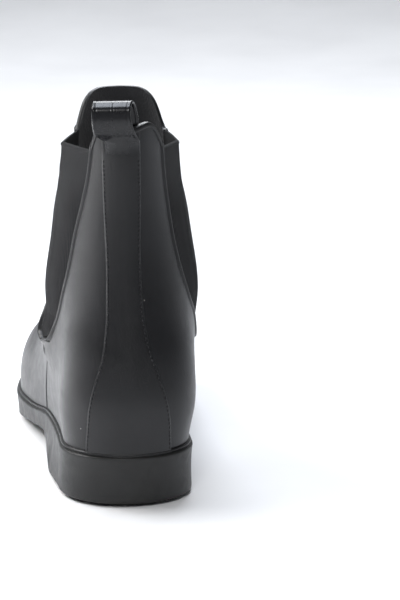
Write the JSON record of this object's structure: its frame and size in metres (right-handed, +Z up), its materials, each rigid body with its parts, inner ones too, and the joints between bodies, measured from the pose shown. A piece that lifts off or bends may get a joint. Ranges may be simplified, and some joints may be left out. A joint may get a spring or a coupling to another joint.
{
  "type": "rubber rain boot",
  "caption": "Ankle-high pull-on rubber rain boot for the left foot, with elastic side gores, a domed top line, a raised back strip and a pull loop over a moulded sole and heel.",
  "frame": {"origin": "on the ground under the middle of the heel, on the flat land of the heel tread", "axes": "+Y towards the toe, +Z up, +X towards the inner (medial) side of the left foot"},
  "size_m": [0.0985, 0.2766, 0.1962],
  "materials": {
    "outer_rubber": "satin black moulded rubber",
    "sole_rubber": "matt black moulded rubber",
    "trim_rubber": "satin black rubber trim",
    "gore_elastic": "ribbed elastic webbing",
    "lining_cloth": "knitted polyester lining",
    "board": "pressed fibre board and felt",
    "foam": "soft foam",
    "steel": "pressed spring steel"
  },
  "bodies": {
    "boot": {"outsole": "sole_rubber", "welt_strip": "trim_rubber", "heel_core": "foam", "forefoot_filler": "board", "shank": "steel", "insole_board": "board", "heel_counter": "board", "toe_puff": "board", "vamp": "outer_rubber", "instep_flex": "outer_rubber", "quarter_lateral": "outer_rubber", "quarter_medial": "outer_rubber", "backstay": "outer_rubber", "gore_lateral": "gore_elastic", "gore_medial": "gore_elastic", "lining_rear": "lining_cloth", "lining_vamp": "lining_cloth", "lining_flex": "lining_cloth", "binding_rear": "trim_rubber", "loop_end_outer": "outer_rubber", "loop_end_inner": "outer_rubber"},
    "front": {"front_shaft": "outer_rubber", "lining_front": "lining_cloth", "binding_front": "trim_rubber"},
    "loop": {"pull_loop": "outer_rubber"},
    "insole": {"footbed": "foam", "footbed_cover": "lining_cloth"}
  },
  "joints": [
    {"name": "mouth_open", "type": "hinge", "parent": "boot", "child": "front", "pos_m": [0.003, 0.038, 0.095], "axis": [-1, 0, 0], "range_deg": [0, 14], "stiffness_Nm_per_rad": 3, "deforming": ["gore_lateral", "gore_medial", "instep_flex", "lining_flex"]},
    {"name": "loop_tilt", "type": "hinge", "parent": "boot", "child": "loop", "pos_m": [-0.005, -0.0322, 0.186], "axis": [1, 0, 0], "range_deg": [-12, 18], "stiffness_Nm_per_rad": 0.02},
    {"name": "footbed_lift", "type": "hinge", "parent": "boot", "child": "insole", "pos_m": [0.005, 0.218, 0.025], "axis": [-1, 0, 0], "range_deg": [0, 3.5]}
  ]
}
